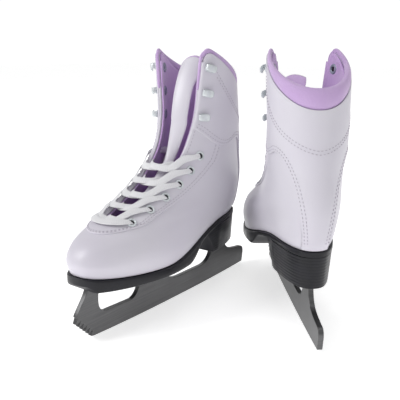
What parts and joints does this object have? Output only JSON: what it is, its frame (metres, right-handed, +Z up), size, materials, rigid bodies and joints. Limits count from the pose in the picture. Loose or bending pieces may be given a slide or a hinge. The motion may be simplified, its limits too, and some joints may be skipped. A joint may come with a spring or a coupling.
{
  "type": "ice skates",
  "caption": "Pair of white lace-up figure skates: moulded boots with padded lilac collars, eyelets and speed hooks, black heeled soles and toe-picked steel blades.",
  "frame": {"origin": "middle of the pair's bounding box, on the ice plane that both blades rest on", "axes": "+X along the left blade, from its tail to its toe pick; +Y to the left skate wearer's left; +Z up. The right skate stands beside it, turned 140 degrees clockwise about +Z."},
  "size_m": [0.268, 0.186, 0.2095],
  "materials": {
    "boot_vinyl": "smooth white coated leather, satin",
    "tongue_vinyl": "smooth white coated leather over foam, satin",
    "collar_lining": "lilac brushed knit over foam",
    "sole_black": "moulded black, satin",
    "heel_black": "moulded black with fine stacked ridges, satin",
    "insole_board": "lilac-grey woven sock over board",
    "lace_cotton": "flat woven white polyester",
    "trim_metal": "white enamelled and nickelled, satin",
    "blade_steel": "dark satin, ground edge"
  },
  "bodies": {
    "left_skate": {"left_blade": "blade_steel", "left_outsole": "sole_black", "left_heel": "heel_black", "left_insole": "insole_board", "left_upper_shell": "boot_vinyl", "left_eyelet_stay": "boot_vinyl", "left_ankle_cuff": "boot_vinyl", "left_lining": "collar_lining", "left_collar_roll": "collar_lining", "left_tongue_base": "tongue_vinyl", "left_lace": "lace_cotton", "left_eyelet_a1": "trim_metal", "left_eyelet_a2": "trim_metal", "left_eyelet_a3": "trim_metal", "left_eyelet_a4": "trim_metal", "left_eyelet_a5": "trim_metal", "left_eyelet_a6": "trim_metal", "left_eyelet_b1": "trim_metal", "left_eyelet_b2": "trim_metal", "left_eyelet_b3": "trim_metal", "left_eyelet_b4": "trim_metal", "left_eyelet_b5": "trim_metal", "left_eyelet_b6": "trim_metal", "left_hook_a1": "trim_metal", "left_hook_a2": "trim_metal", "left_hook_a3": "trim_metal", "left_hook_b1": "trim_metal", "left_hook_b2": "trim_metal", "left_hook_b3": "trim_metal"},
    "left_tongue": {"left_tongue_top": "tongue_vinyl"},
    "right_skate": {"right_blade": "blade_steel", "right_outsole": "sole_black", "right_heel": "heel_black", "right_insole": "insole_board", "right_upper_shell": "boot_vinyl", "right_eyelet_stay": "boot_vinyl", "right_ankle_cuff": "boot_vinyl", "right_lining": "collar_lining", "right_collar_roll": "collar_lining", "right_tongue_base": "tongue_vinyl", "right_lace": "lace_cotton", "right_eyelet_a1": "trim_metal", "right_eyelet_a2": "trim_metal", "right_eyelet_a3": "trim_metal", "right_eyelet_a4": "trim_metal", "right_eyelet_a5": "trim_metal", "right_eyelet_a6": "trim_metal", "right_eyelet_b1": "trim_metal", "right_eyelet_b2": "trim_metal", "right_eyelet_b3": "trim_metal", "right_eyelet_b4": "trim_metal", "right_eyelet_b5": "trim_metal", "right_eyelet_b6": "trim_metal", "right_hook_a1": "trim_metal", "right_hook_a2": "trim_metal", "right_hook_a3": "trim_metal", "right_hook_b1": "trim_metal", "right_hook_b2": "trim_metal", "right_hook_b3": "trim_metal"},
    "right_tongue": {"right_tongue_top": "tongue_vinyl"}
  },
  "joints": [
    {"name": "left_tongue_flex", "type": "hinge", "parent": "left_skate", "child": "left_tongue", "pos_m": [0.02158, -0.05689, 0.13665], "axis": [0, 1, 0], "range_deg": [0, 68]},
    {"name": "right_skate_lift", "type": "slide", "parent": "left_skate", "child": "right_skate", "axis": [0, 0, 1], "range_m": [0, 0.12]},
    {"name": "right_tongue_flex", "type": "hinge", "parent": "right_skate", "child": "right_tongue", "pos_m": [-0.04466, 0.02178, 0.13665], "axis": [0.6428, -0.766, 0], "range_deg": [-68, 0]}
  ]
}
